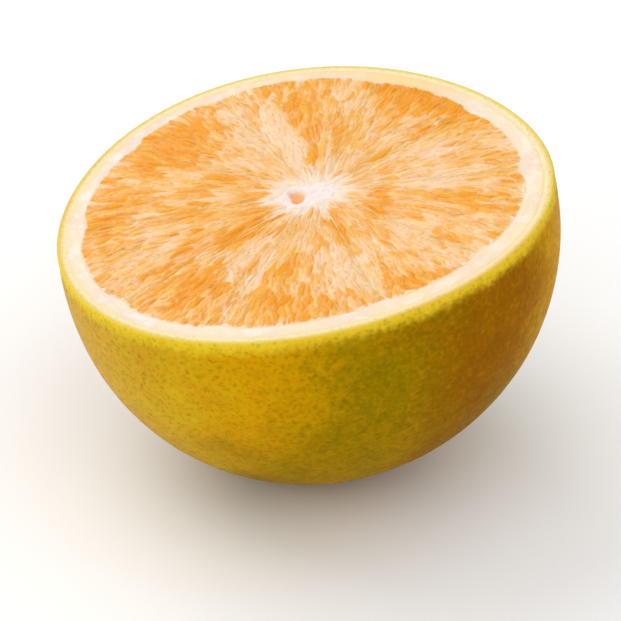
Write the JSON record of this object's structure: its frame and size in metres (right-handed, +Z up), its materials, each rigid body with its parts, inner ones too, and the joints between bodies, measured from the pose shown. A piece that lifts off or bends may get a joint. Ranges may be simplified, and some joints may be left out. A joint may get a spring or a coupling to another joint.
{
  "type": "orange half",
  "caption": "Half of a sweet orange, cut across and resting on its peel, with segments, pith and core showing on the leaning cut face.",
  "frame": {"origin": "middle of the small flat spot of peel that the half rests on", "axes": "+Z up; the cut face looks up and leans 8.6 degrees towards -X; -Y is the side that the picture sees"},
  "size_m": [0.0763, 0.0761, 0.0497],
  "materials": {
    "peel": "waxy peel with fine oil pores, golden yellow turning olive green",
    "pith": "matt white pith, a little moist where it was cut",
    "pulp": "wet juice sacs, light orange, with pale walls"
  },
  "bodies": {
    "root": {"orange_half": "peel"}
  },
  "joints": []
}
